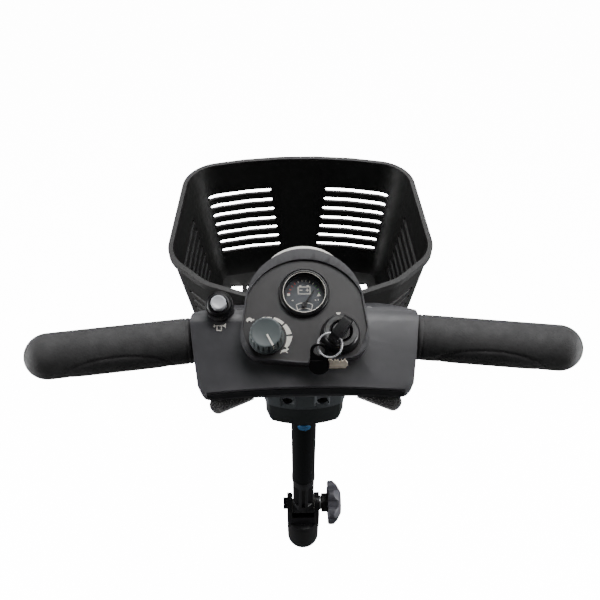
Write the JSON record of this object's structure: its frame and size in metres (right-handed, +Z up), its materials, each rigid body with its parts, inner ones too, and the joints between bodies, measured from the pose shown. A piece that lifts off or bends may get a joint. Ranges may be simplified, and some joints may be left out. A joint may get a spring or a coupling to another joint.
{
  "type": "mobility scooter steering tiller",
  "caption": "Folding steering tiller of an electric mobility scooter: post on a fold yoke, control console with handlebar grips, throttle lever and keys, and a lift-off basket.",
  "frame": {"origin": "centre of the mouth of the yoke's stem socket, on the socket's axis", "axes": "+Z up the steering post, +X to the rider's right, -Y towards the rider, basket on the +Y side"},
  "size_m": [0.4654, 0.3543, 0.4691],
  "materials": {
    "yoke": "satin black powder coat",
    "zinc_steel": "bright zinc-plated steel",
    "washer_plastic": "off-white bearing plastic",
    "hand_knob": "moulded grey plastic",
    "knob_core": "moulded black plastic",
    "knuckle": "cast and painted dark grey",
    "post": "gloss black paint on tube",
    "badge": "gloss blue plate",
    "neck": "fine-grained charcoal plastic",
    "bar_paint": "satin black tube",
    "bracket_alloy": "cast alloy",
    "grip_rubber": "pebbled soft rubber",
    "console": "fine-grained charcoal plastic with a soft sheen",
    "console_tray": "darker blue-grey plastic",
    "lamp_frame": "gloss off-white plastic",
    "lamp_mirror": "metallised reflector",
    "lamp_glass": "clear lens",
    "led": "light source on its plate",
    "gauge_trim": "gloss black ring",
    "gauge_case": "black plastic",
    "gauge_dial": "printed black dial",
    "gauge_glass": "clear window",
    "needle": "black needle",
    "speed_knob": "green-grey moulded plastic",
    "shaft_steel": "turned steel",
    "pot_case": "pressed alloy case",
    "board": "green circuit board",
    "buzzer": "black sounder",
    "lock_collar": "moulded dark collar",
    "lock_metal": "die-cast and plated",
    "key_metal": "nickel-plated brass",
    "key_plastic": "black moulded head",
    "ring_wire": "bright steel wire",
    "horn_trim": "black ring",
    "horn_cap": "silver-grey button",
    "spring_wire": "spring steel",
    "lever": "dark grey plastic",
    "lever_pad": "cross-hatched rubber",
    "basket": "moulded black plastic",
    "bracket_paint": "satin black pressed steel"
  },
  "bodies": {
    "stem_yoke": {"yoke": "yoke", "socket_pinch_bolts": "zinc_steel", "pivot_bolt": "zinc_steel", "pivot_washers": "washer_plastic", "clamp_washer": "zinc_steel"},
    "tiller": {"knuckle": "knuckle", "post_tube": "post", "post_badge": "badge", "neck_clamp_front": "neck", "neck_clamp_rear": "neck", "neck_cap": "neck", "neck_screws": "zinc_steel", "bar_bracket": "bracket_alloy", "bar_clamp_cap": "bracket_alloy", "bar_clamp_screws": "zinc_steel", "handlebar": "bar_paint", "left_grip": "grip_rubber", "right_grip": "grip_rubber", "console_upper_shell": "console", "console_lower_shell": "console_tray", "console_screws": "zinc_steel", "pod_panel": "console", "headlight_bezel": "lamp_frame", "headlight_reflector": "lamp_mirror", "headlight_lens": "lamp_glass", "headlight_led": "led", "gauge_bezel": "gauge_trim", "gauge_case": "gauge_case", "gauge_dial": "gauge_dial", "gauge_lens": "gauge_glass", "speed_pot": "pot_case", "circuit_board": "board", "horn_buzzer": "buzzer", "key_collar": "lock_collar", "key_switch": "lock_metal", "horn_bezel": "horn_trim", "horn_switch": "horn_trim", "horn_spring": "spring_wire", "wigwag_pot": "pot_case", "basket_bracket": "bracket_paint", "bracket_bolts": "zinc_steel"},
    "hand_knob": {"clamp_knob": "hand_knob", "knob_insert": "knob_core"},
    "needle": {"gauge_needle": "needle"},
    "speed_dial": {"speed_knob": "speed_knob", "speed_pot_shaft": "shaft_steel"},
    "ignition_key": {"key_cylinder": "lock_metal", "key_blade": "key_metal", "key_bow": "key_plastic"},
    "key_loop": {"key_ring": "ring_wire"},
    "spare_key": {"spare_key_bow": "key_plastic", "spare_key_blade": "key_metal"},
    "horn_button": {"horn_cap": "horn_cap"},
    "throttle_lever": {"wigwag_lever": "lever", "wigwag_pads": "lever_pad", "wigwag_shaft": "shaft_steel"},
    "carry_basket": {"basket": "basket", "basket_hook_plate": "bracket_paint", "basket_plate_screws": "zinc_steel"}
  },
  "joints": [
    {"name": "tiller_fold", "type": "hinge", "parent": "stem_yoke", "child": "tiller", "pos_m": [0, 0, 0.091], "axis": [1, 0, 0], "range_deg": [-12, 92]},
    {"name": "hand_knob_turn", "type": "hinge", "parent": "stem_yoke", "child": "hand_knob", "pos_m": [0.038, 0, 0.091], "axis": [1, 0, 0], "range_deg": [0, 300]},
    {"name": "throttle_swing", "type": "hinge", "parent": "tiller", "child": "throttle_lever", "pos_m": [0, -0.02762, 0.39828], "axis": [0, -0.3907, 0.9205], "range_deg": [-12, 12], "stiffness_Nm_per_rad": 1.6},
    {"name": "speed_turn", "type": "hinge", "parent": "tiller", "child": "speed_dial", "pos_m": [-0.0307, -0.02246, 0.44501], "axis": [0, -0.3907, 0.9205], "range_deg": [0, 270]},
    {"name": "gauge_needle_swing", "type": "hinge", "parent": "tiller", "child": "needle", "pos_m": [0, 0.00769, 0.4464], "axis": [0, -0.3907, 0.9205], "range_deg": [0, 96]},
    {"name": "key_turn", "type": "hinge", "parent": "tiller", "child": "ignition_key", "pos_m": [0.028, -0.02265, 0.44927], "axis": [0, -0.3907, 0.9205], "range_deg": [0, 40]},
    {"name": "key_ring_swing", "type": "hinge", "parent": "ignition_key", "child": "key_loop", "pos_m": [0.02406, -0.02924, 0.45191], "axis": [-0.788, 0.5667, 0.2406], "range_deg": [0, 12]},
    {"name": "spare_key_swing", "type": "hinge", "parent": "key_loop", "child": "spare_key", "pos_m": [0.01015, -0.03773, 0.44439], "axis": [0.4226, -0.684, -0.5946], "range_deg": [0, 5]},
    {"name": "horn_press", "type": "slide", "parent": "tiller", "child": "horn_button", "axis": [0, 0.3907, -0.9205], "range_m": [0, 0.0025], "stiffness_N_per_m": 900, "springref_m": -0.0015, "deforming": ["horn_spring"]},
    {"name": "basket_lift", "type": "slide", "parent": "tiller", "child": "carry_basket", "axis": [0, 0, 1], "range_m": [0, 0.08]}
  ]
}
